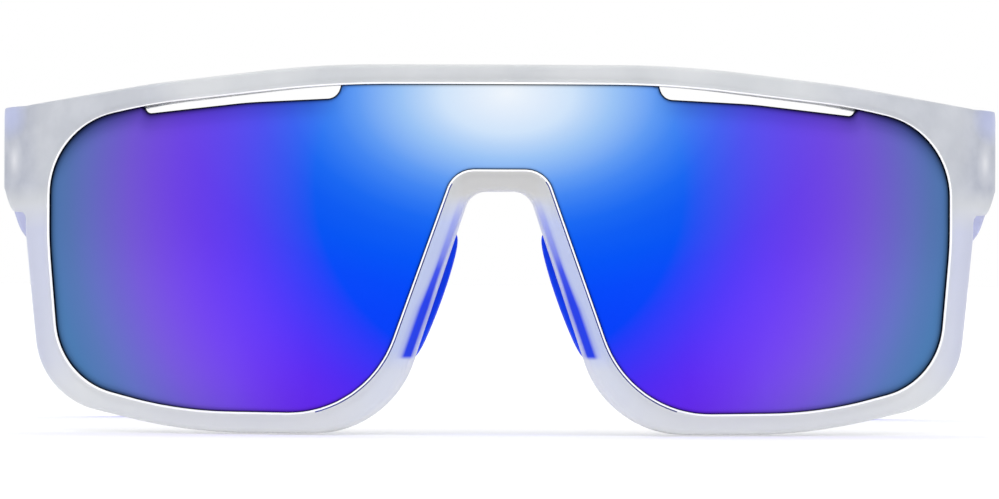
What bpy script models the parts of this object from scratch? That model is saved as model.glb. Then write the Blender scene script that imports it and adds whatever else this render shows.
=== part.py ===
"""Wraparound sport sunglasses: a frosted full-rim shield frame on folding temple arms.

-Y is forward, +X is the wearer's left and +Z is up. The object stands on z = 0, on the
bottom of its rim and on its temple tips, with the arms open.
All lengths below are millimetres; MM turns them into metres when a mesh is made.

The front is designed flat, as a moulder would draw it: x is the length along the brow,
y is the depth behind the outer face and z is the height. wrap() rolls it round the face.
"""
import math

import bmesh
import bpy
from mathutils import Matrix, Vector

MM = 0.001
GAP = 0.3                      # clearance between parts that touch

# Plan of the front: one wide arc, a small corner, then straight back to the hinge.
HALF_WIDTH = 72.0
WRAP_RADIUS = 95.0
CORNER_RADIUS = 9.0
FRONT_Y = -83.9
HINGE_Y = -40.0
# The front also curves back towards its top and bottom edges.
UPRIGHT_RADIUS = 190.0
MID_HEIGHT = 26.0
BULGE_FADE_START = 72.0        # length along the brow where the upright curve dies out

# Front elevation of half the front: corners are (x, z, fillet radius), from the top
# centre round the side and under the lens to the bridge.
LENS_OPENING = [(24.0, 49.8, 150.0), (50.0, 46.95, 80.0), (65.2, 43.7, 12.0),
                (65.2, 27.0, 60.0), (63.5, 7.5, 11.0), (46.0, 3.05, 60.0),
                (18.95, 2.8, 16.0), (6.5, 37.65, 4.0)]
FRAME_OUTSIDE = [(26.0, 52.6, 150.0), (50.0, 49.95, 120.0), (68.9, 46.9, 1.2),
                 (68.9, 31.0, 60.0), (66.1, 5.0, 12.0), (45.0, 0.0, 80.0),
                 (16.45, 0.0, 15.0), (4.35, 34.5, 3.2)]
ARC_STEPS = 5
STRAIGHT_STEPS = 4

# Rim section
RIM_DEPTH = 4.4
NOSE_DEPTH = 6.0               # the rim is deeper over the nose
NOSE_DEPTH_FROM = 20.0
NOSE_DEPTH_FULL = 12.0
GROOVE_DEPTH = 1.3
LIP_ROUND = 0.4                # edges beside the lens
RIM_ROUND = 0.9                # outside edges

# Shield lens
LENS_FRONT = 0.45              # depth of the lens's outer face behind the rim's face
LENS_BACK = 2.4
TONGUE_FRONT = 1.4             # its edge is cut back to a tongue that starts this deep
LENS_SEAT = 1.0                # how far the tongue sits inside the groove
LENS_CELL = 4.2
LENS_SHEET = (-1.0, 54.0)      # lowest and highest edge of the sheet it is trimmed from
VENT_NOTCH = [(21.2, 51.6), (23.5, 47.75), (36.0, 47.15), (50.4, 45.55), (54.2, 50.6)]

# End piece that carries the hinge
TAB_TOP = (46.9, 46.3)         # height at the rim, height at the hinge
TAB_BOTTOM = (31.5, 35.3)
TAB_START = 74.0
TAB_RISE = (77.5, 84.0)        # where its lower edge climbs
TAB_DEPTH = 3.8
TAB_INSET = 0.2                # its outer face starts this far behind the rim's
TAB_ROUND = 0.7
TAB_STEPS = 14

# Nose pads
LEG_CENTRE = (11.0, 19.6)
LEG_LEAN = math.radians(19.3)  # the nose legs lean out from upright
RIB_SIZE = (1.2, 3.0, 11.0)    # across the leg, back, along the leg
RIB_SUNK = 0.45                # how much of the rib is inside the leg
PAD_LENGTH = 18.4
PAD_SECTION = [(-1.9, 0.0), (0.8, 0.0), (1.1, 0.9), (1.05, 2.6), (0.6, 5.2), (0.1, 7.2),
               (-0.5, 7.7), (-1.1, 7.1), (-0.9, 5.2), (-1.3, 3.9), (-2.0, 3.2)]
PAD_PROUD = 0.75               # how far its nose side swells out along the middle
PAD_PROUD_AT = 0.15            # where along its half length it stands proudest
PAD_END_SIZE = 0.28            # section at its ends, as a share of the full section
PAD_STEPS = 14

# Hinge
AXIS_X = 66.2
AXIS_Y = HINGE_Y + GAP / 2
BARREL_RADIUS = 1.7
BARREL_BOTTOM = 37.0
BARREL_TOP = 45.9
BARREL_COUNT = 5
PIN_BORE = 1.0
PIN_RADIUS = 0.7
PLATE_THICKNESS = 1.0
PLATE_INSET = 0.5
FINGER_INSET = 0.05            # fingers are a touch thinner than the plate they leave
FRONT_PLATE = (-46.3, -42.2)   # from y, to y
TEMPLE_PLATE = (-37.5, -27.6)
LEAF_SCREW_RADIUS = 0.5
LEAF_SCREW_LENGTH = 2.8
LEAF_HEAD = (1.15, 0.5)        # radius, height
PIN_HEAD = (1.3, 0.7)
SLOT_WIDTH = 0.3
FRONT_SCREW_HEIGHTS = {"lower": 39.2, "upper": 43.7}
TEMPLE_SCREW_PLACES = {"front": -34.9, "rear": -30.4}
TEMPLE_SCREW_HEIGHT = 41.2

# Temple arm: a straight run that slopes down, then a bend over the ear.
ARM_SLOPE = math.radians(9.0)
ARM_CENTRE_Z = 40.7
ARM_STRAIGHT = 83.27
EAR_RADIUS = 45.0
EAR_TURN = math.radians(34.0)
EAR_TAIL = 22.3
ARM_THICKNESS = 3.8
ARM_HEIGHTS = [(0.0, 11.2), (15.0, 11.3), (60.0, 9.0), (80.0, 7.8), (160.0, 7.6)]
INWARD_FROM = 35.0
INWARD_BOW = 13.0              # how far the arm has moved inward at its tip
SLEEVE_START = 66.0
SLEEVE_WALL = (0.45, 0.35)     # how far the sleeve stands proud: in height, in thickness
TANG_SIZE = (1.8, 4.6)
TANG_ROUND = 0.5
TANG_END = 118.0
TIP_ROUND = 4.2                # length over which the sleeve's end is rounded off
TIP_FLATTEN = 0.3              # its end keeps this share of its thickness
ARM_ROUND = 0.9
ARM_STEP = 4.0
UPRIGHT_OVER = 12.0            # the arm's sections lean with its slope from here on


def clear_scene():
    for obj in list(bpy.data.objects):
        bpy.data.objects.remove(obj)


def make_collection(name):
    collection = bpy.data.collections.new(name)
    bpy.context.scene.collection.children.link(collection)
    return collection


def make_material(name, color, roughness, metallic=0.0, transmission=0.0):
    material = bpy.data.materials.new(name)
    material.use_nodes = True
    shader = material.node_tree.nodes["Principled BSDF"]
    shader.inputs["Base Color"].default_value = (*color, 1.0)
    shader.inputs["Roughness"].default_value = roughness
    shader.inputs["Metallic"].default_value = metallic
    shader.inputs["Transmission Weight"].default_value = transmission
    return material


clear_scene()
PARTS = make_collection("sport_sunglasses")
CUTTERS = make_collection("cutters")
FROSTED = make_material("frosted_nylon", (0.80, 0.82, 0.86), 0.45, transmission=0.6)
MIRROR = make_material("mirror_lens", (0.10, 0.12, 0.85), 0.12, metallic=0.9)
RUBBER = make_material("blue_rubber", (0.02, 0.07, 0.60), 0.75)
STEEL = make_material("hinge_steel", (0.62, 0.62, 0.64), 0.30, metallic=1.0)


# ---------------------------------------------------------------- plain helpers

def smooth_step(value, low, high):
    t = min(max((value - low) / (high - low), 0.0), 1.0)
    return t * t * (3.0 - 2.0 * t)


def mix(a, b, t):
    return a + (b - a) * t


def read_table(table, value):
    """Straight-line reading of a short list of (place, size) pairs."""
    for (low, a), (high, b) in zip(table, table[1:]):
        if value <= high:
            return mix(a, b, max(value - low, 0.0) / (high - low))
    return table[-1][1]


def add_mesh(name, bm, collection):
    bmesh.ops.recalc_face_normals(bm, faces=bm.faces)
    mesh = bpy.data.meshes.new(name)
    bm.to_mesh(mesh)
    bm.free()
    obj = bpy.data.objects.new(name, mesh)
    collection.objects.link(obj)
    return obj


def loft(name, rings, collection, closed=False):
    """A skin over rings of points; closed joins the last ring to the first."""
    bm = bmesh.new()
    layers = [[bm.verts.new(Vector(point) * MM) for point in ring] for ring in rings]
    spans = list(zip(layers, layers[1:]))
    if closed:
        spans.append((layers[-1], layers[0]))
    else:
        bm.faces.new(layers[0])
        bm.faces.new(layers[-1])
    for near, far in spans:
        for i in range(len(near)):
            j = (i + 1) % len(near)
            bm.faces.new((near[i], near[j], far[j], far[i]))
    return add_mesh(name, bm, collection)


def prism(name, outline, back, front, collection):
    """An outline in x and z, pushed through from one depth to another."""
    return loft(name, [[(x, depth, z) for x, z in outline] for depth in (back, front)],
                collection)


def box(name, low, high, collection):
    bpy.ops.mesh.primitive_cube_add(size=1.0)
    obj = bpy.context.object
    low, high = Vector(low) * MM, Vector(high) * MM
    placing = Matrix.Translation((low + high) / 2) @ Matrix.Diagonal((*(high - low), 1.0))
    return take_primitive(obj, name, placing, collection)


def cylinder(name, start, axis, radius, length, collection, sides=20):
    bpy.ops.mesh.primitive_cylinder_add(vertices=sides, radius=radius * MM,
                                        depth=length * MM)
    obj = bpy.context.object
    axis = Vector(axis).normalized()
    middle = (Vector(start) + axis * length / 2) * MM
    placing = Matrix.Translation(middle) @ axis.to_track_quat("Z", "Y").to_matrix().to_4x4()
    return take_primitive(obj, name, placing, collection)


def take_primitive(obj, name, placing, collection):
    """Bake a primitive's place into its mesh and move it to its collection."""
    for home in list(obj.users_collection):
        home.objects.unlink(obj)
    collection.objects.link(obj)
    obj.name = name
    obj.data.name = name
    obj.data.transform(placing)
    return obj


def combine(obj, other, operation):
    """Boolean with the other object, which is hidden as a cutter."""
    modifier = obj.modifiers.new(operation.lower(), "BOOLEAN")
    modifier.operation = operation
    modifier.solver = "EXACT"
    modifier.object = other
    other.hide_render = True
    other.display_type = "WIRE"


def bake(obj):
    """Turn the modifiers so far into plain mesh, and drop the cutters they used."""
    cutters = [modifier.object for modifier in obj.modifiers if modifier.type == "BOOLEAN"]
    depsgraph = bpy.context.evaluated_depsgraph_get()
    mesh = bpy.data.meshes.new_from_object(obj.evaluated_get(depsgraph))
    obj.modifiers.clear()
    obj.data = mesh
    for cutter in cutters:
        bpy.data.objects.remove(cutter)


def finish_piece(obj, material, pivot=None):
    obj.data.materials.clear()
    obj.data.materials.append(material)
    obj.data.shade_smooth()
    obj.data.set_sharp_from_angle(angle=math.radians(35.0))
    if pivot is not None:
        obj.parent = pivot
        obj.matrix_parent_inverse = pivot.matrix_world.inverted()
    return obj


# ---------------------------------------------------------------- the wrap

CORNER_ANGLE = math.asin((HALF_WIDTH - CORNER_RADIUS) / (WRAP_RADIUS - CORNER_RADIUS))
CORNER_X = HALF_WIDTH - CORNER_RADIUS
CORNER_Y = WRAP_RADIUS - (WRAP_RADIUS - CORNER_RADIUS) * math.cos(CORNER_ANGLE)
CORNER_FROM = WRAP_RADIUS * CORNER_ANGLE
CORNER_TO = CORNER_FROM + CORNER_RADIUS * (math.pi / 2 - CORNER_ANGLE)
HINGE_LENGTH = CORNER_TO + HINGE_Y - FRONT_Y - CORNER_Y


def plan_path(length):
    """Place on the outer face in plan, and the way the face looks, at a length."""
    if length < CORNER_FROM:
        angle = length / WRAP_RADIUS
        return (WRAP_RADIUS * math.sin(angle), WRAP_RADIUS * (1 - math.cos(angle)), angle)
    if length < CORNER_TO:
        angle = CORNER_ANGLE + (length - CORNER_FROM) / CORNER_RADIUS
        return (CORNER_X + CORNER_RADIUS * math.sin(angle),
                CORNER_Y - CORNER_RADIUS * math.cos(angle), angle)
    return (HALF_WIDTH, CORNER_Y + length - CORNER_TO, math.pi / 2)


def brow_length(x):
    """Length along the brow of a point seen at x from the front."""
    return WRAP_RADIUS * math.asin(x / WRAP_RADIUS)


def wrap(flat):
    """Roll a flat point (length, depth, height) in millimetres round the face."""
    length, depth, height = flat
    x, y, angle = plan_path(abs(length))
    bulge = (height - MID_HEIGHT) ** 2 / (2 * UPRIGHT_RADIUS)
    bulge *= 1 - smooth_step(abs(length), BULGE_FADE_START, CORNER_TO)
    x -= depth * math.sin(angle)
    y += depth * math.cos(angle) + bulge
    return Vector((math.copysign(x, length), FRONT_Y + y, height))


def wrap_object(obj):
    bake(obj)
    for vertex in obj.data.vertices:
        vertex.co = wrap(vertex.co / MM) * MM
    bm = bmesh.new()
    bm.from_mesh(obj.data)
    bmesh.ops.recalc_face_normals(bm, faces=bm.faces)
    bm.to_mesh(obj.data)
    bm.free()


# ---------------------------------------------------------------- outlines

def fillet(before, corner, after, radius):
    """Points of the arc that rounds a corner, ends included."""
    corner = Vector(corner)
    back = (Vector(before) - corner).normalized()
    ahead = (Vector(after) - corner).normalized()
    half_angle = back.angle(ahead) / 2
    reach = radius / math.tan(half_angle)
    centre = corner + (back + ahead).normalized() * radius / math.sin(half_angle)
    start = corner + back * reach - centre
    sweep = start.angle_signed(corner + ahead * reach - centre)
    return [centre + Matrix.Rotation(-sweep * i / ARC_STEPS, 2) @ start
            for i in range(ARC_STEPS + 1)]


def half_outline(corners):
    """From the top centre round to the bridge centre, with the same count each time."""
    ends = [(0.0, corners[0][1])] + [(x, z) for x, z, _ in corners] + [(0.0, corners[-1][1])]
    points = [Vector(ends[0])]
    for i, (_, _, radius) in enumerate(corners):
        arc = fillet(ends[i], ends[i + 1], ends[i + 2], radius)
        start = points[-1]
        points += [start.lerp(arc[0], k / STRAIGHT_STEPS) for k in range(1, STRAIGHT_STEPS)]
        points += arc
    start = points[-1]
    points += [start.lerp(Vector(ends[-1]), k / STRAIGHT_STEPS)
               for k in range(1, STRAIGHT_STEPS + 1)]
    return points


def full_outline(corners):
    right = half_outline(corners)
    left = [Vector((-point.x, point.y)) for point in reversed(right[1:-1])]
    return right + left


OPENING = full_outline(LENS_OPENING)
OUTSIDE = full_outline(FRAME_OUTSIDE)


def rim_section(width, depth):
    """(across the rim, depth) round the rim, with the lens groove on its inner side."""
    groove_front = TONGUE_FRONT - GAP
    groove_back = LENS_BACK + GAP
    shave = RIM_ROUND * (1 - math.sqrt(0.5))
    return [(GROOVE_DEPTH, groove_front), (0.0, groove_front), (0.0, LIP_ROUND),
            (LIP_ROUND, 0.0), (width - RIM_ROUND, 0.0), (width - shave, shave),
            (width, RIM_ROUND), (width, depth - RIM_ROUND), (width - shave, depth - shave),
            (width - RIM_ROUND, depth), (LIP_ROUND, depth), (0.0, depth - LIP_ROUND),
            (0.0, groove_back), (GROOVE_DEPTH, groove_back)]


def across_rim(opening_point, outside_point, distance):
    """Flat x and z at a distance from the lens opening towards the outside."""
    spot = opening_point + (outside_point - opening_point).normalized() * distance
    return brow_length(spot.x), spot.y


def rounded_rectangle(half_a, half_b, radius, steps=2):
    """Closed ring of (a, b) points with its four corners rounded."""
    points = []
    for quarter, (sign_a, sign_b) in enumerate([(1, 1), (-1, 1), (-1, -1), (1, -1)]):
        for k in range(steps + 1):
            angle = (quarter + k / steps) * math.pi / 2
            points.append((sign_a * (half_a - radius) + radius * math.cos(angle),
                           sign_b * (half_b - radius) + radius * math.sin(angle)))
    return points


# ---------------------------------------------------------------- front frame

def leg_point(side, across, depth, along):
    """Flat point in a nose leg's own axes: across is positive towards the nose."""
    x = LEG_CENTRE[0] - across * math.cos(LEG_LEAN) - along * math.sin(LEG_LEAN)
    z = LEG_CENTRE[1] - across * math.sin(LEG_LEAN) + along * math.cos(LEG_LEAN)
    return (side * x, depth, z)


def nose_rib(side, grow, collection):
    """The rib on the back of a nose leg that the pad presses over."""
    across, back, along = (size / 2 + grow for size in RIB_SIZE)
    middle = NOSE_DEPTH - RIB_SUNK + RIB_SIZE[1] / 2
    rings = []
    for end in (-along, along):
        corners = [(-across, -back), (across, -back), (across, back), (-across, back)]
        rings.append([leg_point(side, a, middle + d, end) for a, d in corners])
    return loft("nose_rib", rings, collection)


def end_tab(side):
    """The end piece from the side rim round the corner to the hinge."""
    rings = []
    for step in range(TAB_STEPS + 1):
        t = step / TAB_STEPS
        length = mix(TAB_START, HINGE_LENGTH, t)
        top = mix(*TAB_TOP, t)
        bottom = mix(*TAB_BOTTOM, smooth_step(length, *TAB_RISE))
        skin = mix(TAB_INSET, 0.0, t)
        section = rounded_rectangle((TAB_DEPTH - skin) / 2, (top - bottom) / 2, TAB_ROUND)
        rings.append([(side * length, (TAB_DEPTH + skin) / 2 + a, (top + bottom) / 2 + b)
                      for a, b in section])
    return loft("end_tab", rings, CUTTERS)


def front_frame():
    rings = []
    for inner, outer in zip(OPENING, OUTSIDE):
        nose = 1 - smooth_step(abs(inner.x), NOSE_DEPTH_FULL, NOSE_DEPTH_FROM)
        section = rim_section((outer - inner).length, mix(RIM_DEPTH, NOSE_DEPTH, nose))
        ring = []
        for distance, depth in section:
            length, height = across_rim(inner, outer, distance)
            ring.append((length, depth, height))
        rings.append(ring)
    frame = loft("front_frame", rings, PARTS, closed=True)
    for side in (1, -1):
        combine(frame, end_tab(side), "UNION")
        combine(frame, nose_rib(side, 0.0, CUTTERS), "UNION")
    wrap_object(frame)
    for side in (1, -1):
        for height in FRONT_SCREW_HEIGHTS.values():
            combine(frame, screw_hole(side, FRONT_SCREW_Y, height), "DIFFERENCE")
    return finish_piece(frame, FROSTED)


# ---------------------------------------------------------------- lens and pads

def lens_outline():
    """The cutter for the lens: its plate fills the opening, its tongue enters the groove."""
    plate = [across_rim(inner, outer, -GAP) for inner, outer in zip(OPENING, OUTSIDE)]
    tongue = [across_rim(inner, outer, LENS_SEAT) for inner, outer in zip(OPENING, OUTSIDE)]
    steps = [(plate, LENS_FRONT - 1.0), (plate, TONGUE_FRONT),
             (tongue, TONGUE_FRONT), (tongue, LENS_BACK + 1.0)]
    rings = [[(length, depth, height) for length, height in edge] for edge, depth in steps]
    return loft("lens_outline", rings, CUTTERS)


def shield_lens():
    """One curved shield: a flat sheet of small cells trimmed to shape, then wrapped."""
    half_length = brow_length(max(point.x for point in OPENING)) + LENS_SEAT + LENS_CELL / 2
    columns = round(2 * half_length / LENS_CELL)
    low, high = LENS_SHEET
    rows = round((high - low) / LENS_CELL)
    bm = bmesh.new()
    grid = bmesh.ops.create_grid(bm, x_segments=columns, y_segments=rows, size=0.5)
    for vertex in grid["verts"]:
        vertex.co = Vector((vertex.co.x * 2 * half_length, LENS_FRONT,
                            mix(low, high, vertex.co.y + 0.5))) * MM
    push = bmesh.ops.extrude_face_region(bm, geom=bm.faces[:])
    moved = [item for item in push["geom"] if isinstance(item, bmesh.types.BMVert)]
    bmesh.ops.translate(bm, verts=moved, vec=Vector((0.0, LENS_BACK - LENS_FRONT, 0.0)) * MM)
    lens = add_mesh("shield_lens", bm, PARTS)
    combine(lens, lens_outline(), "INTERSECT")
    for side in (1, -1):
        notch = [(side * brow_length(x), z) for x, z in VENT_NOTCH]
        cutter = prism("vent_notch", notch, LENS_FRONT - 1.0, LENS_BACK + 1.0, CUTTERS)
        combine(lens, cutter, "DIFFERENCE")
    wrap_object(lens)
    return finish_piece(lens, MIRROR)


def nose_pad(name, side):
    """A soft pad behind a nose leg, showing as a crescent inside the nose opening."""
    rings = []
    for step in range(PAD_STEPS + 1):
        along = 2 * step / PAD_STEPS - 1
        size = mix(PAD_END_SIZE, 1.0, math.sqrt(1 - abs(along) ** 5))
        proud = PAD_PROUD * (1 - ((along - PAD_PROUD_AT) / (1 + PAD_PROUD_AT)) ** 2)
        ring = []
        for across, back in PAD_SECTION:
            shift = proud if across > 0.0 else 0.0
            ring.append(leg_point(side, across * size + shift,
                                  NOSE_DEPTH + GAP + back * size,
                                  along * PAD_LENGTH / 2))
        rings.append(ring)
    pad = loft(name, rings, PARTS)
    combine(pad, nose_rib(side, GAP, CUTTERS), "DIFFERENCE")
    wrap_object(pad)
    return finish_piece(pad, RUBBER)


# ---------------------------------------------------------------- hinges

FRONT_SCREW_Y = sum(FRONT_PLATE) / 2
INNER_FACE = HALF_WIDTH - ARM_THICKNESS
PLATE_OUTER = INNER_FACE - GAP
PLATE_INNER = PLATE_OUTER - PLATE_THICKNESS
BARREL_HEIGHT = (BARREL_TOP - BARREL_BOTTOM - GAP * (BARREL_COUNT - 1)) / BARREL_COUNT


def screw_hole(side, y, height):
    """Pilot hole for a leaf screw, drilled outward from the inner face."""
    start = (side * (PLATE_INNER - 1.0), y, height)
    reach = LEAF_SCREW_LENGTH + 1.0 + GAP
    return cylinder("screw_hole", start, (side, 0, 0), LEAF_SCREW_RADIUS + GAP, reach,
                    CUTTERS, sides=12)


def hinge_leaf(name, side, plate, barrels, screw_places, pivot):
    """A plate with its barrels on the hinge axis, bored for the pin and the screws."""
    near, far = plate
    inner, outer = sorted((side * PLATE_INNER, side * PLATE_OUTER))
    leaf = box(name, (inner, near, BARREL_BOTTOM + PLATE_INSET),
               (outer, far, BARREL_TOP - PLATE_INSET), PARTS)
    edge = far if far < AXIS_Y else near
    finger_near, finger_far = sorted((AXIS_Y, edge + math.copysign(0.5, edge - AXIS_Y)))
    for index in barrels:
        bottom = BARREL_BOTTOM + index * (BARREL_HEIGHT + GAP)
        finger = box("finger", (inner + FINGER_INSET, finger_near, bottom),
                     (outer - FINGER_INSET, finger_far, bottom + BARREL_HEIGHT), CUTTERS)
        combine(leaf, finger, "UNION")
        combine(leaf, cylinder("barrel", (side * AXIS_X, AXIS_Y, bottom), (0, 0, 1),
                               BARREL_RADIUS, BARREL_HEIGHT, CUTTERS), "UNION")
    combine(leaf, cylinder("pin_bore", (side * AXIS_X, AXIS_Y, BARREL_BOTTOM - 1), (0, 0, 1),
                           PIN_BORE, BARREL_TOP - BARREL_BOTTOM + 2, CUTTERS, sides=16),
            "DIFFERENCE")
    for y, height in screw_places:
        combine(leaf, screw_hole(side, y, height), "DIFFERENCE")
    return finish_piece(leaf, STEEL, pivot)


def turned_screw(name, place, axis, shank, head, pivot):
    """A slotted screw, pointing along axis from under its head; sizes are radius, length."""
    shank_radius, shank_length = shank
    head_radius, head_height = head
    profile = [(0.0, head_height), (head_radius * 0.7, head_height),
               (head_radius, head_height / 2), (head_radius, 0.0), (shank_radius, 0.0),
               (shank_radius, -shank_length + shank_radius / 2),
               (shank_radius / 2, -shank_length), (0.0, -shank_length)]
    mesh = bpy.data.meshes.new(name)
    mesh.from_pydata([(r * MM, 0.0, z * MM) for r, z in profile],
                     [(i, i + 1) for i in range(len(profile) - 1)], [])
    screw = bpy.data.objects.new(name, mesh)
    PARTS.objects.link(screw)
    turn = screw.modifiers.new("turn", "SCREW")
    turn.steps = 16
    turn.render_steps = 16
    turn.use_merge_vertices = True
    turn.merge_threshold = 0.00002
    screw.location = Vector(place) * MM
    screw.rotation_mode = "QUATERNION"
    screw.rotation_quaternion = (-Vector(axis)).to_track_quat("Z", "Y")
    bpy.context.view_layer.update()
    slot = box("slot", (-head_radius - 1, -SLOT_WIDTH / 2, head_height / 2),
               (head_radius + 1, SLOT_WIDTH / 2, head_height + 1), CUTTERS)
    slot.matrix_world = screw.matrix_world
    combine(screw, slot, "DIFFERENCE")
    return finish_piece(screw, STEEL, pivot)


def hinge(side, label, pivot):
    front_holes = [(FRONT_SCREW_Y, height) for height in FRONT_SCREW_HEIGHTS.values()]
    hinge_leaf("hinge_front_leaf_" + label, side, FRONT_PLATE, (0, 2, 4), front_holes, None)
    temple_holes = [(y, TEMPLE_SCREW_HEIGHT) for y in TEMPLE_SCREW_PLACES.values()]
    hinge_leaf("hinge_temple_leaf_" + label, side, TEMPLE_PLATE, (1, 3), temple_holes, pivot)
    turned_screw("hinge_screw_" + label, (side * AXIS_X, AXIS_Y, BARREL_TOP + GAP),
                 (0, 0, -1), (PIN_RADIUS, BARREL_TOP - BARREL_BOTTOM), PIN_HEAD, None)
    head_x = side * (PLATE_INNER - GAP)
    leaf_shank = (LEAF_SCREW_RADIUS, LEAF_SCREW_LENGTH)
    for word, height in FRONT_SCREW_HEIGHTS.items():
        turned_screw("front_leaf_screw_" + word + "_" + label,
                     (head_x, FRONT_SCREW_Y, height), (side, 0, 0), leaf_shank, LEAF_HEAD,
                     None)
    for word, y in TEMPLE_SCREW_PLACES.items():
        turned_screw("temple_leaf_screw_" + word + "_" + label,
                     (head_x, y, TEMPLE_SCREW_HEIGHT), (side, 0, 0), leaf_shank, LEAF_HEAD,
                     pivot)


# ---------------------------------------------------------------- temples

ARM_START_Y = HINGE_Y + GAP
ARM_LENGTH = ARM_STRAIGHT + EAR_RADIUS * EAR_TURN + EAR_TAIL


def arm_spine(length):
    """(distance back, height, downward angle) of the arm's centre line."""
    run = min(length, ARM_STRAIGHT)
    y = run * math.cos(ARM_SLOPE)
    z = ARM_CENTRE_Z - run * math.sin(ARM_SLOPE)
    turned = min(max(length - ARM_STRAIGHT, 0.0) / EAR_RADIUS, EAR_TURN)
    angle = ARM_SLOPE + turned
    y += EAR_RADIUS * (math.sin(angle) - math.sin(ARM_SLOPE))
    z -= EAR_RADIUS * (math.cos(ARM_SLOPE) - math.cos(angle))
    tail = max(length - ARM_STRAIGHT - EAR_RADIUS * EAR_TURN, 0.0)
    return y + tail * math.cos(angle), z - tail * math.sin(angle), angle


def arm_ring(side, length, half_thickness, half_height, radius):
    """A rounded section across the arm at a length along it, never below the ground."""
    y, z, angle = arm_spine(length)
    angle *= smooth_step(length, 0.0, UPRIGHT_OVER)
    reach = arm_spine(ARM_LENGTH)[0] - INWARD_FROM
    inward = INWARD_BOW * (max(y - INWARD_FROM, 0.0) / reach) ** 2
    x = HALF_WIDTH - ARM_THICKNESS / 2 - inward
    ring = []
    for a, b in rounded_rectangle(half_thickness, half_height, radius):
        ring.append((side * (x + a), ARM_START_Y + y + b * math.sin(angle),
                     max(z + b * math.cos(angle), 0.0)))
    return ring


def lengths(start, end):
    count = max(round((end - start) / ARM_STEP), 1)
    return [mix(start, end, i / count) for i in range(count + 1)]


def tang_rings(side, start, end, grow):
    half_thickness, half_height = (size / 2 + grow for size in TANG_SIZE)
    return [arm_ring(side, length, half_thickness, half_height, TANG_ROUND)
            for length in lengths(start, end)]


def temple_arm(name, side, pivot):
    rings = []
    for length in lengths(0.0, SLEEVE_START):
        rings.append(arm_ring(side, length, ARM_THICKNESS / 2,
                              read_table(ARM_HEIGHTS, length) / 2, ARM_ROUND))
    rings += tang_rings(side, SLEEVE_START, TANG_END, 0.0)
    arm = loft(name, rings, PARTS)
    for y in TEMPLE_SCREW_PLACES.values():
        combine(arm, screw_hole(side, y, TEMPLE_SCREW_HEIGHT), "DIFFERENCE")
    return finish_piece(arm, FROSTED, pivot)


def temple_tip(name, side, pivot):
    """A rubber sleeve over the arm's tang, rounded off at the end."""
    end = ARM_LENGTH - TIP_ROUND
    places = [(length, 1.0) for length in lengths(SLEEVE_START + GAP, end)]
    for degrees in (25, 45, 62, 76):
        turn = math.radians(degrees)
        places.append((end + TIP_ROUND * math.sin(turn), math.cos(turn)))
    rings = []
    for length, size in places:
        half_height = read_table(ARM_HEIGHTS, length) / 2 + SLEEVE_WALL[0]
        half_thickness = ARM_THICKNESS / 2 + SLEEVE_WALL[1]
        rings.append(arm_ring(side, length, half_thickness * mix(TIP_FLATTEN, 1.0, size),
                              half_height * size, ARM_ROUND * size))
    tip = loft(name, rings, PARTS)
    bore = loft("tang_bore", tang_rings(side, SLEEVE_START - 1.0, TANG_END + GAP, GAP),
                CUTTERS)
    combine(tip, bore, "DIFFERENCE")
    return finish_piece(tip, RUBBER, pivot)


def temple_pivot(side, label):
    """An empty on the hinge axis that the temple's pieces hang from."""
    pivot = bpy.data.objects.new("temple_pivot_" + label, None)
    pivot.location = Vector((side * AXIS_X, AXIS_Y, BARREL_BOTTOM)) * MM
    PARTS.objects.link(pivot)
    bpy.context.view_layer.update()
    return pivot


front_frame()
shield_lens()
for hand, word in ((1, "left"), (-1, "right")):
    pivot_empty = temple_pivot(hand, word)
    nose_pad("nose_pad_" + word, hand)
    hinge(hand, word, pivot_empty)
    temple_arm("temple_arm_" + word, hand, pivot_empty)
    temple_tip("temple_tip_" + word, hand, pivot_empty)
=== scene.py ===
"""Looks for the wraparound sport sunglasses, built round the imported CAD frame.

Lengths are millimetres in the tables and functions below; MM turns them into metres when
a mesh is made. The front is drawn flat (length along the brow, depth, height), as in the
CAD, and wrap() rolls it round the face.
"""
import math

import bmesh
import bpy
from mathutils import Matrix, Vector
from mathutils.kdtree import KDTree


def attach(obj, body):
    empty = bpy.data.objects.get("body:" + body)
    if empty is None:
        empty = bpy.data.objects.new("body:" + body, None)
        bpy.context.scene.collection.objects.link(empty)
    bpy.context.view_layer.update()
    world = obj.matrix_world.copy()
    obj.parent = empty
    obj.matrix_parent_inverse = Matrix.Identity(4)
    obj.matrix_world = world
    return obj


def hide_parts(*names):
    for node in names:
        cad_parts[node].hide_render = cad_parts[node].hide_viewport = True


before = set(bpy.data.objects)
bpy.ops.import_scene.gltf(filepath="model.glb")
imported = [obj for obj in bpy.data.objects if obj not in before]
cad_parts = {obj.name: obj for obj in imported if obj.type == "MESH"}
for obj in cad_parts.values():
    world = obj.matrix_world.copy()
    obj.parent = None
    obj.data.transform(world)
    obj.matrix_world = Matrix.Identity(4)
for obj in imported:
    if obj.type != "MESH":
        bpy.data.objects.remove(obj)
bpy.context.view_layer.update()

MM = 0.001

# ---------------------------------------------------------------- sizes

HALF_WIDTH = 72.0
WRAP_RADIUS = 95.0              # of the front's outer face in plan,
CORNER_RADIUS = 9.0             # and of its turn into the end piece
FRONT_Y = -83.9
UPRIGHT_RADIUS = 190.0          # of the front's curve from top to bottom,
MID_HEIGHT = 26.0               # which is furthest forward here,
BULGE_FADE_START = 72.0         # and fades out from this length to the corner's end

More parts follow.
